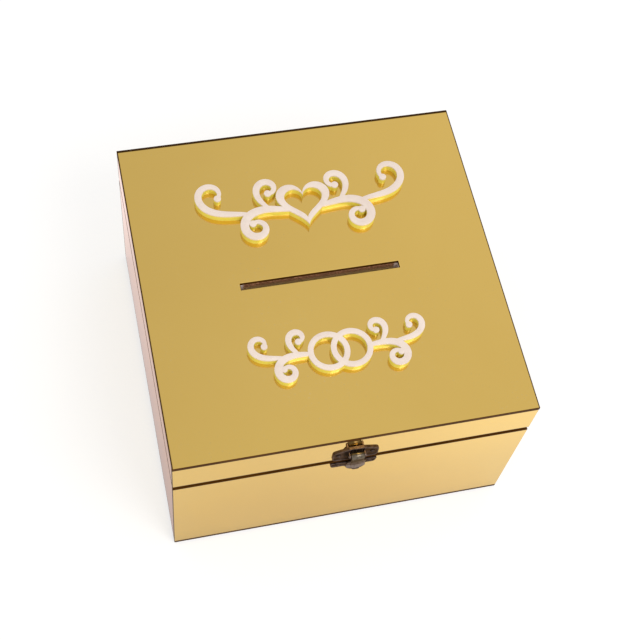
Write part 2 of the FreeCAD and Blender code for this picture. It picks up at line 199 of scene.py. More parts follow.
def pointMark(place, name):
    # what a piece's own points say, from 0 to 1
    return addNode(treeOf(place["Object"]), "ShaderNodeAttribute", attribute_name=name).outputs["Fac"]


def clouds(place, scale, low, high):
    return effect("clouding", Vector=place["Object"], Scale=scale, Low=low, High=high)["Mask"]


def hairLines(place, scale, width):
    return effect("scratches", Vector=place["Object"], Scale=scale, Width=width)["Mask"]


def wornEdges(place, scale, amount):
    given = {"Rubbed": pointMark(place, "rubbed"), "Vector": place["Object"], "Scale": scale, "Amount": amount}
    return effect("rubbed", **given)["Mask"]


def settledDust(place, scale, amount):
    given = {"Vector": place["Object"], "Normal": place["Normal"], "Scale": scale, "Amount": amount}
    return effect("dust", **given)["Mask"]


def startMaterial(name):
    material = bpy.data.materials.new(name)
    material.use_nodes = True
    nodes = material.node_tree.nodes
    return material, nodes["Principled BSDF"], nodes.new("ShaderNodeTexCoord").outputs


def relief(shader, height, distance):
    bump = addNode(treeOf(height), "ShaderNodeBump", {"Height": height, "Distance": distance, "Strength": 1.0})
    feed(shader, {"Normal": bump.outputs["Normal"]})


acrylicIor = 1.49
goldLook = {
    "gold": (0.860, 0.580, 0.152), "deepGold": (0.832, 0.552, 0.138), "rim": (0.062, 0.028, 0.007),
    "glance": (1.0, 0.95, 0.88), "farGlance": (1.0, 0.57, 0.46), "grazing": (0.90, 0.955),
    "dust": (0.70, 0.66, 0.58), "dustRough": 0.6, "dustDull": 0.8,
    "polish": 0.018, "markRough": 0.035, "hairRough": 0.05, "warp": 0.00005,
    "clearFace": 0.12, "clearPolish": 0.015,
}


def goldMirrorMaterial():
    # gold under a clear face; what it reflects turns pinker at a grazing angle
    look = goldLook
    material, shader, place = startMaterial("goldMirror")
    marks = clouds(place, 16.0, 0.50, 0.80)
    tone = clouds(place, 3.5, 0.30, 0.75)
    hairs = hairLines(place, 22.0, 0.02)
    dust = settledDust(place, 700.0, 0.20)
    # dark rim at the sheets' edges; along the foot of the base sheets it is painted shadow
    rim = pointMark(place, "rimShade")
    roughening = (marks, look["markRough"]), (hairs, look["hairRough"]), (dust, look["dustRough"])
    facing = addNode(material.node_tree, "ShaderNodeLayerWeight", {"Blend": 0.5}).outputs["Facing"]
    grazing = spread(facing, *look["grazing"])
    feed(shader, {
        "Base Color": layered(look["gold"], (tone, look["deepGold"]), (rim, look["rim"]), (dust, look["dust"])),
        "Roughness": summed(look["polish"], *roughening),
        "Metallic": rest(scaled(dust, look["dustDull"])),
        "Specular Tint": layered(look["glance"], (grazing, look["farGlance"])),
        "Coat Weight": scaled(rest(rim), look["clearFace"]),
        "Coat IOR": acrylicIor, "Coat Roughness": look["clearPolish"],
    })
    relief(shader, noise(place["Object"], 9.0, 1.0), look["warp"])
    return material


edgeLook = {
    "amber": (0.120, 0.044, 0.005), "darkAmber": (0.078, 0.027, 0.003), "cutMarks": 1600.0, "cutShade": 0.35,
    "cutDepth": 0.00002, "rough": (0.28, 0.46), "gloss": 0.02,
}


def sheetEdgeMaterial():
    # cut edge of the sheets: dark amber, with fine upright marks of the cutter
    look = edgeLook
    material, shader, place = startMaterial("sheetEdge")
    parts = split(place["Object"])
    along = added(added(parts["X"], parts["Y"]), parts["Z"])
    cut = addNode(material.node_tree, "ShaderNodeTexNoise", {
        "W": along, "Scale": look["cutMarks"], "Detail": 2.0,
    }, noise_dimensions="1D").outputs["Fac"]
    blotch = clouds(place, 45.0, 0.35, 0.7)
    cutShade = scaled(cut, look["cutShade"])
    feed(shader, {
        "Base Color": layered(look["darkAmber"], (blotch, look["amber"]), (cutShade, look["darkAmber"])),
        "Roughness": spread(cut, 0.3, 0.7, *look["rough"]),
        "IOR": acrylicIor, "Specular IOR Level": look["gloss"],
    })
    relief(shader, cut, look["cutDepth"])
    return material


backLook = {
    "grey": (0.17, 0.16, 0.14), "paleGrey": (0.23, 0.22, 0.19), "scratch": (0.42, 0.32, 0.14),
    "rough": (0.5, 0.65),
}


def sheetBackMaterial():
    look = backLook
    material, shader, place = startMaterial("sheetBack")
    blotch = clouds(place, 30.0, 0.35, 0.7)
    hairs = hairLines(place, 30.0, 0.03)
    feed(shader, {
        "Base Color": layered(look["grey"], (blotch, look["paleGrey"]), (hairs, look["scratch"])),
        "Roughness": spread(blotch, 0.0, 1.0, *look["rough"]),
    })
    return material


boardLook = {
    "pale": (0.480, 0.335, 0.185), "brown": (0.340, 0.220, 0.108), "pore": (0.160, 0.092, 0.042),
    "stain": (0.270, 0.165, 0.075), "stainShare": 0.45, "poreShare": 0.7, "wear": 0.55,
    "grain": 26.0, "grainDepth": 0.00008, "grainShift": (0.61, 0.37), "rough": (0.48, 0.70), "ease": 0.4 * mm,
}


def stainedBoardMaterial():
    look = boardLook
    material, shader, place = startMaterial("stainedBoard")
    grain = effect("grain", Vector=place["UV"], Scale=look["grain"])
    stain = scaled(clouds(place, 11.0, 0.40, 0.75), look["stainShare"])
    pores = scaled(grain["Pores"], look["poreShare"])
    worn = wornEdges(place, 220.0, look["wear"])
    coats = (grain["Tone"], look["pale"]), (stain, look["stain"]), (pores, look["pore"]), (worn, look["pale"])
    feed(shader, {
        "Base Color": layered(look["brown"], *coats),
        "Roughness": spread(grain["Pores"], 0.0, 1.0, *look["rough"]),
    })
    relief(shader, mathNode("SUBTRACT", grain["Tone"], grain["Pores"]), look["grainDepth"])
    return material


slotLook = {"length": 114.0 * mm, "width": 5.5 * mm, "middleY": -0.4 * mm}
cutLook = {
    "pale": (0.660, 0.320, 0.160), "burnt": (0.210, 0.085, 0.035), "burntShare": 0.4,
    "endLight": (0.820, 0.690, 0.610), "endLightFrom": 3.5 * mm, "endLightTo": 1.5 * mm,
    "raw": (0.980, 0.760, 0.330), "depthLightShare": 0.8, "depthLightHeights": (0.1395, 0.1445),
    "rough": (0.65, 0.85), "speckDepth": 0.00006,
}


def cutBoardMaterial():
    # wall of the card slot: speckled, with a painted highlight making it paler at both ends, and painted light
    # making it paler deeper down
    look = cutLook
    material, shader, place = startMaterial("cutBoard")
    specks = noise(place["Object"], 900.0, 3.0)
    scorch = scaled(clouds(place, 120.0, 0.35, 0.7), look["burntShare"])
    spot = split(place["Object"])
    half = slotLook["length"] / 2
    aside = mathNode("ABSOLUTE", spot["X"])
    # painted highlight: paler towards both ends of the slot, where the end walls would catch the light
    ends = spread(aside, half - look["endLightFrom"], half - look["endLightTo"])
    # painted light: paler deeper down, lifting the slot's shade
    deep = scaled(spread(spot["Z"], *look["depthLightHeights"], 1.0, 0.0), look["depthLightShare"])
    coats = (scorch, look["burnt"]), (deep, look["raw"]), (ends, look["endLight"])
    feed(shader, {
        "Base Color": layered(look["burnt"], (spread(specks, 0.42, 0.62), look["pale"]), *coats),
        "Roughness": spread(specks, 0.3, 0.7, *look["rough"]),
    })
    relief(shader, specks, look["speckDepth"])
    return material


bronzeLook = {
    "dust": (0.35, 0.31, 0.25), "dustRough": 0.3, "glance": (0.60, 0.50, 0.42, 1.0), "metal": 0.96,
    "markedDarkShare": 0.85, "hairShare": 0.35, "patinaRough": 0.14, "wornPolish": 0.10, "patinaDepth": 1.5,
}
plateLook = {
    "dark": (0.026, 0.016, 0.012), "warm": (0.105, 0.070, 0.058), "bright": (0.300, 0.220, 0.190),
    "patina": (0.34, 0.66), "patches": 210.0, "wear": 0.35, "rough": 0.30, "pitDepth": 0.00003,
}
tongueLook = {
    "dark": (0.030, 0.023, 0.010), "warm": (0.240, 0.184, 0.160), "bright": (0.440, 0.370, 0.280),
    "patina": (0.22, 0.52), "patches": 210.0, "wear": 0.28, "rough": 0.19, "pitDepth": 0.000012,
}
hingeLook = {
    "dark": (0.110, 0.066, 0.030), "warm": (0.180, 0.112, 0.050), "bright": (0.480, 0.330, 0.160),
    "patina": (0.30, 0.72), "patches": 80.0, "wear": 0.60, "rough": 0.28, "pitDepth": 0.000012,
}


def bronzeMaterial(name, look):
    # patina in patches, darker where the points are marked (only the tongue's barrel and the start of its
    # strips), and bright on worn edges
    shared = bronzeLook
    material, shader, place = startMaterial(name)
    patina = clouds(place, look["patches"], *look["patina"])
    markedDark = scaled(pointMark(place, "rimShade"), shared["markedDarkShare"])
    hairs = scaled(hairLines(place, 160.0, 0.035), shared["hairShare"])
    worn = wornEdges(place, 420.0, look["wear"])
    dust = settledDust(place, 1500.0, 0.25)
    pits = noise(place["Object"], 1400.0, 3.0)
    coats = (patina, look["warm"]), (markedDark, look["dark"]), (hairs, look["bright"]), (worn, look["bright"])
    rough = spread(patina, 0.0, 1.0, look["rough"], look["rough"] + shared["patinaRough"])
    feed(shader, {
        "Base Color": layered(look["dark"], *coats, (dust, shared["dust"])),
        "Roughness": summed(rough, (worn, -shared["wornPolish"]), (dust, shared["dustRough"])),
        "Metallic": shared["metal"], "Specular Tint": shared["glance"],
    })
    relief(shader, summed(pits, (patina, shared["patinaDepth"])), look["pitDepth"])
    return material


acrylicLook = {
    "dust": (0.55, 0.50, 0.42), "dustRough": 0.3, "cloudRough": 0.08, "hairRough": 0.12, "ripple": 0.00002,
}
whiteLook = {
    "colour": (0.865, 0.725, 0.635), "shade": (0.780, 0.635, 0.550), "edge": (0.90, 0.80, 0.69), "rough": 0.22,
}
yellowLook = {
    "colour": (0.840, 0.735, 0.095), "shade": (0.780, 0.665, 0.070), "edge": (0.90, 0.81, 0.20), "rough": 0.20,
}


def acrylicMaterial(name, look):
    shared = acrylicLook
    material, shader, place = startMaterial(name)
    cloud = clouds(place, 38.0, 0.35, 0.7)
    hairs = hairLines(place, 60.0, 0.03)
    worn = wornEdges(place, 300.0, 0.5)
    dust = settledDust(place, 1100.0, 0.3)
    coats = (cloud, look["shade"]), (worn, look["edge"]), (dust, shared["dust"])
    rough = spread(cloud, 0.0, 1.0, look["rough"], look["rough"] + shared["cloudRough"])
    feed(shader, {
        "Base Color": layered(look["colour"], *coats),
        "Roughness": summed(rough, (hairs, shared["hairRough"]), (dust, shared["dustRough"])),
        "IOR": acrylicIor,
    })
    relief(shader, noise(place["Object"], 120.0, 2.0), shared["ripple"])
    return material


goldMirror = goldMirrorMaterial()
sheetEdge = sheetEdgeMaterial()
sheetBack = sheetBackMaterial()
stainedBoard = stainedBoardMaterial()
cutBoard = cutBoardMaterial()
plateBronze = bronzeMaterial("plateBronze", plateLook)
tongueBronze = bronzeMaterial("tongueBronze", tongueLook)
hingeBronze = bronzeMaterial("hingeBronze", hingeLook)
whiteAcrylic = acrylicMaterial("whiteAcrylic", whiteLook)
yellowAcrylic = acrylicMaterial("yellowAcrylic", yellowLook)
print("finishes made:", len(bpy.data.materials), "materials")


def camel(node):
    first, *others = node.split("_")
    return first + "".join(word.capitalize() for word in others)


wearSizes = {"merge": 0.0005 * mm, "fullAngle": 0.75}  # closer points are one; sharper edges wear all over


def settle(obj, smoothAngle):
    # outward faces, smooth curves, and a mark from 0 to 1 on convex edges for the wear
    mesh = obj.data
    work = bmesh.new()
    work.from_mesh(mesh)
    bmesh.ops.remove_doubles(work, verts=work.verts, dist=wearSizes["merge"])
    bmesh.ops.recalc_face_normals(work, faces=work.faces)
    rubbed = []
    for vert in work.verts:
        angles = [edge.calc_face_angle_signed(0.0) for edge in vert.link_edges]
        rubbed.append(max(0.0, min(1.0, max(angles, default=0.0) / wearSizes["fullAngle"])))
    work.to_mesh(mesh)
    work.free()
    mesh.attributes.new("rubbed", "FLOAT", "POINT").data.foreach_set("value", rubbed)
    mesh.polygons.foreach_set("use_smooth", [True] * len(mesh.polygons))
    mesh.set_sharp_from_angle(angle=math.radians(smoothAngle))
    mesh.update()


def handOver(obj, body, finish, *nodes):
    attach(obj, body)
    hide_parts(*nodes)


def makePiece(node, body, finish, shells, materials, smoothAngle=35):
    # one mesh from closed shells: points, faces, and where given each face's material and each point's shade
    points, faces, kinds, shades = [], [], [], []
    for shell in shells:
        start = len(points)
        points += shell[0]
        faces += [tuple(start + index for index in face) for face in shell[1]]
        kinds += shell[2] if len(shell) > 2 else [0] * len(shell[1])
        shades += shell[3] if len(shell) > 3 else [0.0] * len(shell[0])
    mesh = bpy.data.meshes.new(camel(node))
    mesh.from_pydata(points, [], faces)
    for material in materials:
        mesh.materials.append(material)
    mesh.polygons.foreach_set("material_index", kinds)
    mesh.attributes.new("rimShade", "FLOAT", "POINT").data.foreach_set("value", shades)
    obj = bpy.data.objects.new(camel(node), mesh)
    scene.collection.objects.link(obj)
    settle(obj, smoothAngle)
    handOver(obj, body, finish, node)
    return obj


def band(here, there, count):
    # faces between two closed rows of points, by the number of each row's first point
    pairs = [(index, (index + 1) % count) for index in range(count)]
    return [(here + index, here + after, there + after, there + index) for index, after in pairs]


def loft(rings):
    # closed skin over rings with equal counts of points
    count = len(rings[0])
    points = [point for ring in rings for point in ring]
    faces = []
    for row in range(len(rings) - 1):
        faces += band(row * count, (row + 1) * count, count)
    faces.append(tuple(reversed(range(count))))
    faces.append(tuple(range(len(points) - count, len(points))))
    return points, faces


def fourSides(value):
    return value if isinstance(value, tuple) else (value,) * 4


def slab(low, high, out, rings, slot=None, slotRings=None):
    # sheet or board; rings go from the back round the rim to the front: inset, depth, shade, material
    # where inset or material differs by side, it has four: low, right, high, left
    axis = max(range(3), key=lambda index: abs(out[index]))
    across, along = [index for index in range(3) if index != axis]
    front = high[axis] if out[axis] > 0 else low[axis]
    inward = -1 if out[axis] > 0 else 1
    areas = [((low[across], low[along]), (high[across], high[along]), rings, 1)]
    if slot:
        areas.append(((slot[0][across], slot[0][along]), (slot[1][across], slot[1][along]), slotRings, -1))
    points, faces, kinds, shades = [], [], [], []
    for (a0, b0), (a1, b1), areaRings, side in areas:
        for row, (inset, depth, shade, kind) in enumerate(areaRings):
            start = len(points)
            foot, right, head, left = (reach * side for reach in fourSides(inset))
            nearA, nearB, farA, farB = a0 + left, b0 + foot, a1 - right, b1 - head
            for a, b in ((nearA, nearB), (farA, nearB), (farA, farB), (nearA, farB)):
                point = Vector((0, 0, 0))
                point[axis], point[across], point[along] = front + inward * depth, a, b
                points.append(point)
                shades.append(shade)
            if row:
                faces += band(start - 4, start, 4)
                kinds += fourSides(kind)
    count = len(rings) * 4
    for first, kind in ((0, rings[0][3]), (count - 4, 0)):
        if slot:
            faces += band(first, count + first, 4)
            kinds += fourSides(kind)
        else:
            faces.append(tuple(range(first, first + 4)))
            kinds.append(kind)
    return points, faces, kinds, shades


outward = {
    "front": (0, -1, 0), "back": (0, 1, 0), "left": (-1, 0, 0), "right": (1, 0, 0),
    "top": (0, 0, 1), "floor": (0, 0, -1),
}
slotArea = (
    (-slotLook["length"] / 2, slotLook["middleY"] - slotLook["width"] / 2, 0),
    (slotLook["length"] / 2, slotLook["middleY"] + slotLook["width"] / 2, 0),
)
sheetLook = {
    "ease": 0.25, "fade": 0.4, "hair": 0.02,  # in millimetres, as the rims are: low, right, high, left
    # the base's 3 mm low rim is painted shadow at the foot of the box
    "top": (0.02, 0.35, 1.7, 0.35), "lid": (0.15, 0.02, 0.1, 0.02), "base": (3.0, 0.02, 0.3, 0.02),
}


def goldSheet(half, side):
    # the mirror shows its dark edge as a rim, wider where the sheet ends over the dark; the widest, along the
    # foot of the base sheets, is painted shadow where the box meets the floor
    node = f"{half}_{side}_mirror"
    low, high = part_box(node)
    gold, edge, back = range(3)  # as the piece's materials are listed below
    ease, fade, hair = sheetLook["ease"], sheetLook["fade"], sheetLook["hair"]
    rims = sheetLook["top" if side == "top" else half]
    depth = min(high - low)
    darkRim = tuple((ease + rim) * mm for rim in rims)
    clearRim = tuple((ease + rim + (fade if rim > hair else hair)) * mm for rim in rims)
    corner = edge if side == "top" else (edge, gold, edge, gold)
    footShadow = (edge, gold, gold, gold) if half == "base" else gold  # painted shadow: along the foot of the base sheets the rim takes the dark edge finish
    rings = [
        (0, depth, 1.0, back), (0, ease * mm, 1.0, edge), (ease * mm, 0, 1.0, corner),
        (darkRim, 0, 1.0, footShadow), (clearRim, 0, 0.0, gold),
    ]
    slotRings = [
        (0, depth, 0, back), (0, ease * mm, 0, edge), (ease * mm, 0, 0, gold),
        ((ease + hair) * mm, 0, 0, gold), ((ease + 2 * hair) * mm, 0, 0, gold),
    ]
    shell = slab(low, high, outward[side], rings, slotArea if side == "top" else None, slotRings)
    makePiece(node, half, "gold_mirror", [shell], [goldMirror, sheetEdge, sheetBack], smoothAngle=20)


def easedRings(depth, ease, kind=0):
    return [(ease, depth, 0, 0), (0, depth - ease, 0, kind), (0, ease, 0, kind), (ease, 0, 0, kind)]


def board(node, half, side, order):
    low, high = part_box(node)
    depth, ease = min(high - low), boardLook["ease"]
    slot = slotArea if side == "top" else None
    shell = slab(low, high, outward[side], easedRings(depth, ease), slot, easedRings(depth, ease, kind=1))
    materials = [stainedBoard, cutBoard] if slot else [stainedBoard]
    obj = makePiece(node, half, "stained_board", [shell], materials, smoothAngle=20)
    along = max(range(3), key=lambda index: high[index] - low[index])
    others = [index for index in range(3) if index != along]
    shiftAlong, shiftAcross = (order * shift for shift in boardLook["grainShift"])  # no two boards alike
    grain = obj.data.uv_layers.new(name="grain")
    for loop in obj.data.loops:
        co = obj.data.vertices[loop.vertex_index].co
        grain.data[loop.index].uv = (co[along] + shiftAlong, co[others[0]] + co[others[1]] + shiftAcross)


walls = [(half, side) for half in ("base", "lid") for side in ("front", "back", "left", "right")]
for half, side in walls:
    goldSheet(half, side)
goldSheet("lid", "top")
print("gold sheets cut: 9")

boardNodes = [(f"{half}_{side}_board", half, side) for half, side in walls]
boardNodes += [("lid_top_board", "lid", "top"), ("floor_panel", "base", "floor")]
for order, (node, half, side) in enumerate(boardNodes):
    board(node, half, side, order)
print("boards cut:", len(boardNodes))


def rod(start, end, radius, ease, steps=28):
    # round bar with eased ends
    axis = (end - start).normalized()
    side = axis.orthogonal().normalized()
    other = axis.cross(side)
    length = (end - start).length
    rings = []
    profile = ((0, radius - ease), (ease, radius), (length - ease, radius), (length, radius - ease))
    for distance, reach in profile:
        ring = []
        for step in range(steps):
            angle = 2 * math.pi * step / steps
            ring.append(start + axis * distance + (side * math.cos(angle) + other * math.sin(angle)) * reach)
        rings.append(ring)
    return loft(rings)


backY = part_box("base_back_mirror")[1].y
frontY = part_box("base_front_mirror")[0].y
seamZ = (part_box("lid_front_mirror")[0].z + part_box("base_front_mirror")[1].z) / 2
latchX = (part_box("latch_lid_plate")[0].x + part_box("latch_lid_plate")[1].x) / 2
hingeSizes = {
    "knuckle": 1.9 * mm, "leaf": 0.9 * mm, "gap": 0.3 * mm, "ease": 0.2 * mm, "pin": 1.0 * mm,
    "screwRise": 7.6 * mm,
}


def easedBlock(low, high, ease):
    thin = min(range(3), key=lambda index: high[index] - low[index])
    out = [0, 0, 0]
    out[thin] = 1
    return slab(low, high, out, easedRings(high[thin] - low[thin], ease))


def hinge(side):
    sizes = hingeSizes
    pinNode = f"{side}_hinge_pin"
    pinLow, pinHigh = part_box(pinNode)
    axisY, axisZ = (pinLow.y + pinHigh.y) / 2, (pinLow.z + pinHigh.z) / 2

    def bar(start, end, radius):
        return rod(Vector((start, axisY, axisZ)), Vector((end, axisY, axisZ)), radius, sizes["ease"])

    for half, direction in (("base", -1), ("lid", 1)):
        node = f"{side}_hinge_{half}_leaf"
        low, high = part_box(node)
        third = (high.x - low.x) / 3
        near = axisZ + direction * (sizes["knuckle"] + sizes["gap"])
        far = low.z if direction < 0 else high.z
        leafLow = Vector((low.x, backY, min(near, far)))
        leafHigh = Vector((high.x, backY + sizes["leaf"], max(near, far)))
        shells = [easedBlock(leafLow, leafHigh, sizes["ease"])]
        if half == "base":
            spans = [(low.x, low.x + third - sizes["gap"] / 2), (high.x - third + sizes["gap"] / 2, high.x)]
        else:
            spans = [(low.x + third + sizes["gap"] / 2, high.x - third - sizes["gap"] / 2)]
        for start, end in spans:
            shells.append(bar(start, end, sizes["knuckle"]))
            strapLow = Vector((start, backY, min(axisZ, near) - sizes["ease"]))
            strapHigh = Vector((end, backY + sizes["leaf"], max(axisZ, near) + sizes["ease"]))
            shells.append(easedBlock(strapLow, strapHigh, sizes["ease"] / 2))
        makePiece(node, half, "antique_bronze", shells, [hingeBronze])
    pin = bar(pinLow.x, pinHigh.x, sizes["pin"])
    makePiece(pinNode, "base", "antique_bronze", [pin], [hingeBronze])


for side in ("left", "right"):
    hinge(side)
print("hinges hung: 2")


def headTree(name, slotted):
    # round heads in pairs: a low dome on a skirt, turned a little at random, with a slot in a screw
    # made in millimetres and brought to size at the end, where it is also set in its place
    tree = bpy.data.node_groups.new(name, "GeometryNodeTree")
    labels = {
        "Geometry": ["Geometry"], "Material": ["Material"],
        "Int": ["Groups", "Seed"], "Vector": ["Turn", "Place"],
        "Float": ["Head Radius", "Crown", "Skirt", "Loose", "Slot Width", "Slot Depth",
                  "Pair Spacing", "Group Spacing"],
    }
    for kind, names in labels.items():
        for label in names:
            tree.interface.new_socket(name=label, in_out="INPUT", socket_type="NodeSocket" + kind)
    tree.interface.new_socket(name="Geometry", in_out="OUTPUT", socket_type="NodeSocketGeometry")
    given = tree.nodes.new("NodeGroupInput").outputs
    result = tree.nodes.new("NodeGroupOutput").inputs

    def make(kind, inputs, **settings):
        return addNode(tree, kind, inputs, **settings).outputs[0]

    def vector(x=0.0, y=0.0, z=0.0):
        return make("ShaderNodeCombineXYZ", {0: x, 1: y, 2: z})

    def row(spacing, count, gaps):
        # points evenly spaced about the middle
        start = vector(x=scaled(scaled(spacing, gaps), -0.5))
        return make("GeometryNodeMeshLine", {
            "Count": count, "Start Location": start, "Offset": vector(x=spacing),
        })

    drum = make("GeometryNodeMeshCylinder", {
        "Vertices": 32, "Fill Segments": 7, "Radius": given["Head Radius"], "Depth": given["Skirt"],
    }, fill_type="TRIANGLE_FAN")
    low = scaled(given["Skirt"], -0.5)
    sunk = make("GeometryNodeTransform", {"Geometry": drum, "Translation": vector(z=low)})
    spot = split(make("GeometryNodeInputPosition", {}))
    squares = added(scaled(spot["X"], spot["X"]), scaled(spot["Y"], spot["Y"]))
    reach = mathNode("DIVIDE", squares, scaled(given["Head Radius"], given["Head Radius"]))
    rise = scaled(rest(reach), given["Crown"])
    onTop = mathNode("GREATER_THAN", spot["Z"], scaled(given["Skirt"], -0.25))
    domed = make("GeometryNodeSetPosition", {"Geometry": sunk, "Selection": onTop, "Offset": vector(z=rise)})
    if slotted:
        # the blade is longer than the head is wide, and half of it stands above the crown
        length, depth = scaled(given["Head Radius"], 2.4), scaled(given["Slot Depth"], 2.0)
        blade = make("GeometryNodeMeshCube", {"Size": vector(length, given["Slot Width"], depth)})
        raised = make("GeometryNodeTransform", {"Geometry": blade, "Translation": vector(z=given["Crown"])})
        domed = make("GeometryNodeMeshBoolean", {"Mesh 1": domed, "Mesh 2": raised},
                     operation="DIFFERENCE", solver="EXACT")
    groups = row(given["Group Spacing"], given["Groups"], mathNode("SUBTRACT", given["Groups"], 1.0))
    pair = row(given["Pair Spacing"], 2, 1.0)
    spots = make("GeometryNodeInstanceOnPoints", {"Points": groups, "Instance": pair})
    spots = make("GeometryNodeRealizeInstances", {"Geometry": spots})
    twist = make("FunctionNodeRandomValue", {
        "Min": vector(z=scaled(given["Loose"], -1.0)), "Max": vector(z=given["Loose"]), "Seed": given["Seed"],
    }, data_type="FLOAT_VECTOR")
    heads = make("GeometryNodeInstanceOnPoints", {"Points": spots, "Instance": domed, "Rotation": twist})
    placed = make("GeometryNodeTransform", {
        "Geometry": heads, "Rotation": given["Turn"], "Translation": given["Place"], "Scale": (mm, mm, mm),
    })
    whole = make("GeometryNodeRealizeInstances", {"Geometry": placed})
    painted = make("GeometryNodeSetMaterial", {"Geometry": whole, "Material": given["Material"]})
    tree.links.new(painted, result["Geometry"])
    return tree


def growHeads(node, tree, values, body):
    obj = bpy.data.objects.new(camel(node), bpy.data.meshes.new(camel(node)))
    scene.collection.objects.link(obj)
    modifier = obj.modifiers.new("heads", "NODES")
    modifier.node_group = tree
    for item in tree.interface.items_tree:
        if item.in_out == "INPUT" and item.name in values:
            modifier[item.identifier] = values[item.name]
    graph = bpy.context.evaluated_depsgraph_get()
    mesh = bpy.data.meshes.new_from_object(obj.evaluated_get(graph))
    obj.modifiers.clear()
    mesh.materials.clear()
    mesh.materials.append(values["Material"])
    mesh.polygons.foreach_set("material_index", [0] * len(mesh.polygons))
    obj.data = mesh
    settle(obj, smoothAngle=40)
    handOver(obj, body, "antique_bronze", node)


screwSizes = {
    "Head Radius": 1.8, "Crown": 0.25, "Skirt": 0.7, "Slot Width": 0.5, "Slot Depth": 0.4,
    "Pair Spacing": 19.0, "Group Spacing": 150.0, "Groups": 2, "Turn": (-math.pi / 2, 0.0, 0.0),
    "Loose": 1.2, "Material": hingeBronze,
}
nailSizes = {
    "Head Radius": 1.6, "Crown": 0.9, "Skirt": 0.5, "Group Spacing": 0.0, "Groups": 1,
    "Turn": (math.pi / 2, 0.0, 0.0), "Loose": 1.5, "Material": plateBronze,
}
latchSizes = {
    "thickness": 1.2, "rim": 1.1, "rimStep": (0.15, 0.2), "relief": 0.4, "ease": 0.25,
    "lidPlate": [(16.0, 2.6, 3.4), (16.0, 15.2, 3.4), (5.0, 19.2, 3.4)],
    "catchPlate": [(4.5, -11.6, 1.2), (6.9, -9.0, 1.2), (15.5, -9.0, 2.4), (16.7, -2.6, 1.2)],
    "lidNails": (10.4, 23.6), "catchNails": (-5.8, 22.4),  # rise and spacing
    "bump": 1.15, "bumpRise": -5.4, "bumpReach": 2.5,
    "pivotRise": 15.0, "pivotOut": 4.3, "pin": 0.8, "pinEase": 0.2, "gap": 0.3,
    "lug": 1.5, "lugWidth": 1.1, "lugEase": 0.2, "lugFoot": (0.2, 0.05), "lugFlat": 0.02,
    "barrel": 2.8, "barrelEase": 0.45, "tongueWidth": 9.0, "drop": 18.5, "tongue": 1.4,
    "seat": 0.15, "waist": 0.4, "flare": 2.2, "backRound": 0.4, "frontRound": 0.55,
    "flanks": [(0, 9.0), (0.2, 9.0), (0.5, 13.6), (0.88, 13.6), (1, 6.8)],
    "rib": [(0, 8.0), (0.67, 8.0), (1, 5.6)], "ribHeight": 0.6,
    "tip": [(0.9, 0.45), (0.35, 0.85), (0.1, 0.97)], "darkTip": 4, "startShade": (2.2, 4.5),
}
screwTree = headTree("hingeScrews", True)
nailTree = headTree("latchNails", False)
for half, direction, seed in (("base", -1, 3), ("lid", 1, 8)):
    place = (0.0, backY + hingeSizes["leaf"], seamZ + direction * hingeSizes["screwRise"])
    growHeads(f"hinge_{half}_screws", screwTree, {**screwSizes, "Place": place, "Seed": seed}, half)
for part, half, seed in (("lid", "lid", 5), ("catch", "base", 6)):
    rise, spacing = latchSizes[part + "Nails"]
    place = (latchX, frontY - latchSizes["thickness"] * mm, seamZ + rise * mm)
    values = {**nailSizes, "Pair Spacing": spacing, "Place": place, "Seed": seed}
    growHeads(f"latch_{part}_nails", nailTree, values, half)
print("screws and nails driven: 12")


def roundedOutline(corners, inset, steps=5, sharpest=0.02):
    # outline with rounded corners, pulled in evenly; corners run anticlockwise as x, y and radius
    count = len(corners)
    lines = []
    for index in range(count):
        here = Vector(corners[index][:2])
        there = Vector(corners[(index + 1) % count][:2])
        along = (there - here).normalized()
        lines.append((here + Vector((-along.y, along.x)) * inset, along))
    outline = []
    for index in range(count):
        (spotA, alongA), (spotB, alongB) = lines[index - 1], lines[index]
        cross = alongA.x * alongB.y - alongA.y * alongB.x
        gap = spotB - spotA
        corner = spotA + alongA * ((gap.x * alongB.y - gap.y * alongB.x) / cross)
        radius = max(corners[index][2] + (-inset if cross > 0 else inset), sharpest)
        turn = math.atan2(cross, alongA.dot(alongB))
        reach = radius * abs(math.tan(turn / 2))
        first = corner - alongA * reach
        side = Vector((-alongA.y, alongA.x)) * (radius if cross > 0 else -radius)
        centre = first + side
        for step in range(steps):
            turned = Matrix.Rotation(turn * step / (steps - 1), 2)
            outline.append(centre + turned @ (first - centre))
    return outline


def onFront(x, rise, out):
    # latch sizes in millimetres to a place on the box
    return Vector((latchX + x * mm, frontY - out * mm, seamZ + rise * mm))


def stampedPlate(half):
    # plate with a raised rim and a lowered middle
    sizes = latchSizes
    thick, ease, rim = sizes["thickness"], sizes["ease"], sizes["rim"]
    before, beyond = sizes["rimStep"]
    corners = half + [(-x, y, radius) for x, y, radius in reversed(half)]
    levels = [
        (0, 0), (0, thick - ease), (ease, thick), (rim - before, thick),
        (rim + beyond, thick - sizes["relief"]),
    ]
    rings = []
    for inset, out in levels:
        rings.append([onFront(point.x, point.y, out) for point in roundedOutline(corners, inset)])
    return loft(rings)


def lug(side):
    sizes = latchSizes
    low, high = sizes["pivotRise"] - sizes["lug"], sizes["pivotRise"] + sizes["lug"]
    top, ease = sizes["pivotOut"] + sizes["lug"], sizes["lugEase"]
    foot, footRadius = sizes["lugFoot"]
    topRadius = sizes["lug"] - sizes["lugFlat"]
    corners = [(low, foot, footRadius), (high, foot, footRadius), (high, top, topRadius), (low, top, topRadius)]
    start = side * (sizes["tongueWidth"] / 2 + sizes["gap"])
    end = start + side * sizes["lugWidth"]
    rings = []
    for x, inset in ((start, ease), (start + side * ease, 0), (end - side * ease, 0), (end, ease)):
        rings.append([onFront(x, point.x, point.y) for point in roundedOutline(corners, inset, steps=7)])
    return loft(rings)


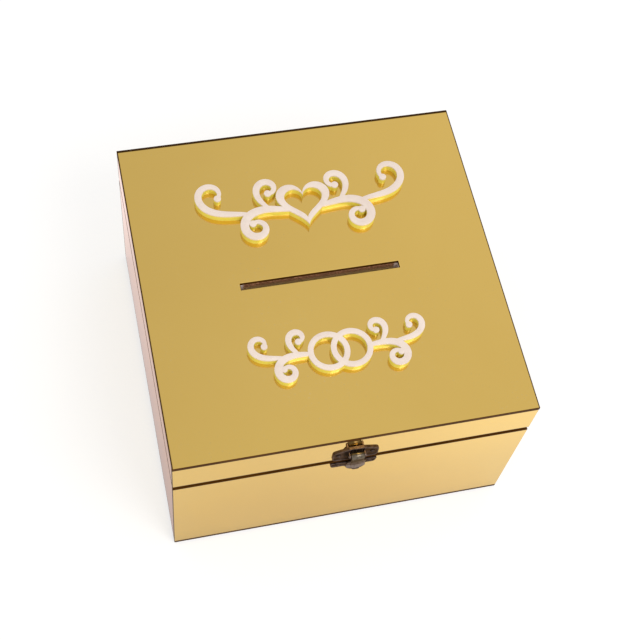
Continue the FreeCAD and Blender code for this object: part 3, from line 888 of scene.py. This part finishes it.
def smoothLine(points, steps):
    # even curve through the points
    padded = [points[0] * 2 - points[1]] + points + [points[-1] * 2 - points[-2]]
    line = []
    for index in range(len(points) - 1):
        p0, p1, p2, p3 = padded[index:index + 4]
        for step in range(steps):
            t = step / steps
            bend = (2 * p0 - 5 * p1 + 4 * p2 - p3) * t * t
            line.append(0.5 * (2 * p1 + (p2 - p0) * t + bend + (3 * p1 - p0 - 3 * p2 + p3) * t ** 3))
    return line + [points[-1]]


def widthAt(share, widths):
    for (startShare, startWidth), (endShare, endWidth) in zip(widths, widths[1:]):
        if share <= endShare:
            along = (share - startShare) / (endShare - startShare)
            along = along * along * (3 - 2 * along)
            return startWidth + (endWidth - startWidth) * along
    return widths[-1][1]


def tongueStrip(stepBack, widths):
    # bent strip with rounded sides and a rounded tip; its sides and tip take the darker finish as painted
    # shade, and its start is darker
    sizes = latchSizes
    crown, waist = sizes["barrel"] - sizes["tongue"] / 2 - sizes["seat"], sizes["waist"]
    guide = [(0, crown), (0.2, crown), (0.5, (crown + waist) / 2), (0.75, waist), (1, sizes["flare"])]
    line = smoothLine([Vector((share * sizes["drop"], stand - stepBack)) for share, stand in guide], steps=9)
    rings, shades = [], []
    last = len(line) - 1
    for index, point in enumerate(line):
        along = (line[min(index + 1, last)] - line[max(index - 1, 0)]).normalized()
        normal = Vector((-along.y, along.x))
        share = point.x / sizes["drop"]
        half = widthAt(share, widths) / 2
        thick = sizes["tongue"] / 2
        left = last - index
        if left < len(sizes["tip"]):  # round off the tip
            narrower, thinner = sizes["tip"][left]
            half -= narrower
            thick *= thinner
        back, front = sizes["backRound"], sizes["frontRound"]
        corners = [(-half, -thick, back), (half, -thick, back), (half, thick, front), (-half, thick, front)]
        ring = []
        for spot in roundedOutline(corners, 0):
            place = point + normal * spot.y
            ring.append(onFront(spot.x, sizes["pivotRise"] - place.x, sizes["pivotOut"] + place.y))
        rings.append(ring)
        # the strip is marked darker near its start, fading along it
        shadeFrom, shadeFall = sizes["startShade"]
        shades += [max(0.0, min(1.0, shadeFrom - share * shadeFall))] * len(ring)
    light, dark = range(2)  # as the tongue's materials are listed
    lightFaces = (4, *range(12, 17))  # round each ring: the flat back, then the front with half of its rounding
    # painted shade: the sides, the back rounding and the last rows at the tip take the dark finish
    kinds = []
    for row in range(last):
        lit = row <= last - sizes["darkTip"]
        kinds += [light if lit and index in lightFaces else dark for index in range(len(rings[0]))]
    points, faces = loft(rings)
    return points, faces, kinds + [dark, dark], shades


def tongueShells():
    sizes = latchSizes
    reach = sizes["tongueWidth"] / 2
    start = onFront(-reach, sizes["pivotRise"], sizes["pivotOut"])
    end = onFront(reach, sizes["pivotRise"], sizes["pivotOut"])
    points, faces = rod(start, end, sizes["barrel"] * mm, sizes["barrelEase"] * mm, steps=36)
    # the barrel is marked in full, so it comes out darker all over
    barrel = (points, faces, [0] * len(faces), [1.0] * len(points))
    return [tongueStrip(sizes["ribHeight"], sizes["flanks"]), tongueStrip(0, sizes["rib"]), barrel]


def latch():
    sizes = latchSizes
    lidPlate = [stampedPlate(sizes["lidPlate"]), lug(-1), lug(1)]
    makePiece("latch_lid_plate", "lid", "antique_bronze", lidPlate, [plateBronze])
    bumpEnds = [onFront(way * sizes["bumpReach"], sizes["bumpRise"], sizes["thickness"]) for way in (-1, 1)]
    bump = rod(*bumpEnds, sizes["bump"] * mm, sizes["ease"] * mm, steps=24)
    catchPlate = [stampedPlate(sizes["catchPlate"]), bump]
    makePiece("latch_catch_plate", "base", "antique_bronze", catchPlate, [plateBronze])
    pinLow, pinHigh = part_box("latch_pin")
    middle = (pinLow + pinHigh) / 2
    ends = [Vector((x, middle.y, middle.z)) for x in (pinLow.x, pinHigh.x)]
    pin = rod(*ends, sizes["pin"] * mm, sizes["pinEase"] * mm)
    makePiece("latch_pin", "lid", "antique_bronze", [pin], [tongueBronze])
    # the plate bronze on the tongue's sides and tip is painted shade
    tongueFinishes = [tongueBronze, plateBronze]
    makePiece("latch_tongue", "latch_tongue", "antique_bronze", tongueShells(), tongueFinishes, smoothAngle=50)


latch()
print("latch fitted")


ornamentSizes = {
    "face": 0.22, "backing": 0.08, "firstStep": 0.3,  # ease of the upper edge, and its first step's share
    "merge": 0.002, "level": 0.01, "upward": 0.9, "closest": 0.12, "blunt": 0.6, "tipRun": 12,
}


def topOutlines(node):
    # closed outlines of the upper face of a cut ornament, in millimetres
    sizes = ornamentSizes
    work = bmesh.new()
    work.from_mesh(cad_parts[node].data)
    bmesh.ops.remove_doubles(work, verts=work.verts, dist=sizes["merge"] * mm)
    work.normal_update()
    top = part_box(node)[1].z
    after = {}
    for face in work.faces:
        below = abs(face.calc_center_median().z - top)
        if face.normal.z > sizes["upward"] and below < sizes["level"] * mm:
            for loop in face.loops:
                beside = [other for other in loop.edge.link_faces if other is not face]
                if not beside or beside[0].normal.z < sizes["upward"]:
                    after[loop.vert.index] = loop.link_loop_next.vert.index
    work.verts.ensure_lookup_table()
    places = {index: work.verts[index].co.xy / mm for index in after}
    work.free()
    outlines = []
    while after:
        index = next(iter(after))
        outline = []
        while index in after:
            if not outline or (places[index] - outline[-1]).length > sizes["closest"]:
                outline.append(places[index])
            index = after.pop(index)
        outlines.append(outline)
    return outlines


def pulledIn(outline, distance):
    # outline moved towards the solid, which lies on its left; sharp tips that would cross over end in a point
    count = len(outline)
    spots = []
    for index, point in enumerate(outline):
        first = (point - outline[index - 1]).normalized()
        second = (outline[(index + 1) % count] - point).normalized()
        side = Vector((-first.y - second.y, first.x + second.x))
        spots.append(point + side.normalized() * distance / max(side.length / 2, ornamentSizes["blunt"]))
    for index in range(count if distance else 0):
        for gap in range(ornamentSizes["tipRun"], 1, -1):
            run = [(index + step) % count for step in range(gap + 2)]
            tip = intersect_line_line_2d(*(spots[spot] for spot in run[:2] + run[-2:]))
            if tip:
                for spot in run[1:-1]:
                    spots[spot] = tip
                break
    return spots


def filledFaces(outlines):
    # triangles inside the outlines and outside their holes, numbered through all points
    points, edges = [], []
    for outline in outlines:
        start = len(points)
        count = len(outline)
        points += outline
        edges += [(start + index, start + (index + 1) % count) for index in range(count)]
    filled = delaunay_2d_cdt(points, edges, [], 1, 1e-5)  # 1: triangles within the edges
    sources = [ids[0] for ids in filled[3]]
    triangles = [tuple(sources[index] for index in face) for face in filled[2]]
    spots = numpy.array(points)
    starts, ends = (spots[[edge[side] for edge in edges]] for side in (0, 1))
    starts, ends = starts[starts[:, 1] != ends[:, 1]], ends[starts[:, 1] != ends[:, 1]]
    middles = spots[triangles].mean(axis=1)[:, None, :]
    crossing = (middles[..., 1] - starts[:, 1]) / (ends[:, 1] - starts[:, 1])
    meets = (starts[:, 1] > middles[..., 1]) != (ends[:, 1] > middles[..., 1])
    meets &= middles[..., 0] < starts[:, 0] + crossing * (ends[:, 0] - starts[:, 0])
    return [triangle for triangle, count in zip(triangles, meets.sum(axis=1)) if count % 2]


def ornamentLayer(place, layer, material, finish):
    node = f"{place}_ornament_{layer}"
    low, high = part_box(node)
    ease = ornamentSizes[layer]
    step = ornamentSizes["firstStep"] * ease
    outlines = topOutlines(node)
    levels = [(low.z, 0), (high.z - ease * mm, 0), (high.z - step * mm, step), (high.z, ease)]
    points, faces = [], []
    caps = []
    for row, (height, inset) in enumerate(levels):
        ring = [pulledIn(outline, inset) for outline in outlines]
        rowStart = len(points)
        if row in (0, len(levels) - 1):
            caps.append((rowStart, filledFaces(ring)))
        total = sum(len(outline) for outline in ring)
        for outline in ring:
            start = len(points)
            points += [Vector((spot.x * mm, spot.y * mm, height)) for spot in outline]
            if row:
                faces += band(start - total, start, len(outline))
    for rowStart, triangles in caps:
        faces += [tuple(rowStart + index for index in face) for face in triangles]
    makePiece(node, "lid", finish, [(points, faces)], [material], smoothAngle=30)


for place in ("upper", "lower"):
    ornamentLayer(place, "backing", yellowAcrylic, "yellow_acrylic")
    ornamentLayer(place, "face", whiteAcrylic, "white_acrylic")
print("ornaments cut: 2")

stageLook = {
    "floorSize": 12.0, "floorDrop": 0.0002, "floorColour": (0.43, 0.425, 0.42), "floorGlow": 0.64,
    # painted reflection: the floor's glow as glossy rays see it is graded by place, brighter to the right and,
    # on the left, towards the back, with a painted shadow near the foot of the box; to the camera the floor
    # stays even
    "sheen": (0.71, 1.11), "sheenReach": (-0.05, 0.19),  # the floor shines more to the right
    "paintedFootShadow": 0.76, "nearReach": (0.125, 0.185),  # less near the foot of the box
    "leftSheen": (1.0, 1.62), "leftReach": (-0.125, 0.1), "leftDepth": (-0.14, 0.16),  # left: more at the back
    "sky": [(0.0, 1.0), (0.3, 0.95), (0.6, 0.84), (0.82, 0.765), (1.0, 0.71)],
    "flag": (-0.35, 0.65, 0.67), "flagShade": 0.16, "flagReach": (0.78, 0.95),  # a grey flag at the back left
    "keyPlace": (0.45, -0.95, 1.55), "keyAim": (0.0, 0.0, 0.1), "keySize": 0.7, "keyPower": 10.0,
}


def studio():
    look = stageLook
    reach, level = look["floorSize"] / 2, -look["floorDrop"]
    mesh = bpy.data.meshes.new("floor")
    corners = [(-reach, -reach, level), (reach, -reach, level), (reach, reach, level), (-reach, reach, level)]
    mesh.from_pydata(corners, [], [(0, 1, 2, 3)])
    floor = bpy.data.objects.new("floor", mesh)
    scene.collection.objects.link(floor)
    material = bpy.data.materials.new("paleFloor")
    material.use_nodes = True
    tree = material.node_tree
    tree.nodes.clear()
    matt = addNode(tree, "ShaderNodeBsdfDiffuse", {"Color": (*look["floorColour"], 1.0)})
    path = tree.nodes.new("ShaderNodeLightPath").outputs
    place = split(tree.nodes.new("ShaderNodeTexCoord").outputs["Object"])
    # painted reflection and painted shadow: the gold sees the floor brighter to the right, darker near the
    # box's foot and brighter towards the back on the left
    sheen = spread(place["X"], *look["sheenReach"], *look["sheen"])
    away = mathNode("MAXIMUM", *(mathNode("ABSOLUTE", place[axis]) for axis in "XY"))
    sheen = scaled(sheen, spread(away, *look["nearReach"], look["paintedFootShadow"], 1.0))
    onLeft = spread(place["X"], *look["leftReach"], 1.0, 0.0)
    leftward = scaled(onLeft, spread(place["Y"], *look["leftDepth"], *look["leftSheen"]))
    sheen = scaled(sheen, mathNode("MAXIMUM", leftward, 1.0))
    seen = mathNode("MAXIMUM", path["Is Camera Ray"], path["Is Transmission Ray"])
    seen = mathNode("MAXIMUM", seen, scaled(path["Is Glossy Ray"], sheen))
    glow = addNode(tree, "ShaderNodeEmission", {"Strength": scaled(seen, look["floorGlow"])})
    both = addNode(tree, "ShaderNodeAddShader", {0: matt.outputs[0], 1: glow.outputs[0]})
    addNode(tree, "ShaderNodeOutputMaterial", {"Surface": both.outputs[0]})
    mesh.materials.append(material)

    world = bpy.data.worlds.new("softStudio")
    scene.world = world
    world.use_nodes = True
    tree = world.node_tree
    tree.nodes.clear()
    direction = tree.nodes.new("ShaderNodeTexCoord").outputs["Generated"]
    ramp = addNode(tree, "ShaderNodeValToRGB", {0: split(direction)["Z"]})
    stops = ramp.color_ramp.elements
    while len(stops) < len(look["sky"]):
        stops.new(0.5)
    for stop, (position, level) in zip(stops, look["sky"]):
        stop.position = position
        stop.color = (level, level, level, 1.0)
    toFlag = addNode(tree, "ShaderNodeVectorMath", {
        0: direction, 1: Vector(look["flag"]).normalized(),
    }, operation="DOT_PRODUCT").outputs["Value"]
    shaded = spread(toFlag, *look["flagReach"], 1.0, 1.0 - look["flagShade"])
    sky = addNode(tree, "ShaderNodeBackground", {"Color": ramp.outputs[0], "Strength": shaded})
    addNode(tree, "ShaderNodeOutputWorld", {"Surface": sky.outputs[0]})

    light = bpy.data.lights.new("key", "AREA")
    light.size = look["keySize"]
    light.energy = look["keyPower"]
    key = bpy.data.objects.new("key", light)
    key.location = look["keyPlace"]
    key.rotation_euler = (Vector(look["keyAim"]) - key.location).to_track_quat("-Z", "Y").to_euler()
    scene.collection.objects.link(key)


cameraLook = {
    "lens": 72.716, "sensor": 36.0, "place": (-0.16291, -0.42325, 0.93284),
    "right": (0.97354, -0.21090, 0.08796), "down": (-0.14754, -0.87411, -0.46277),
    "ahead": (0.17449, 0.43755, -0.88211),
}


def camera():
    # the place and turn that bring the box's edges where the photo has them
    look = cameraLook
    data = bpy.data.cameras.new("camera")
    data.lens = look["lens"]
    data.sensor_width = look["sensor"]
    right, down, ahead = (Vector(look[way]) for way in ("right", "down", "ahead"))
    eye = bpy.data.objects.new("camera", data)
    turn = Matrix((right, -down, -ahead)).transposed()
    eye.matrix_world = Matrix.Translation(look["place"]) @ turn.to_4x4()
    scene.collection.objects.link(eye)
    scene.camera = eye


studio()
camera()
scene.view_settings.view_transform = "Standard"
print("studio set up")
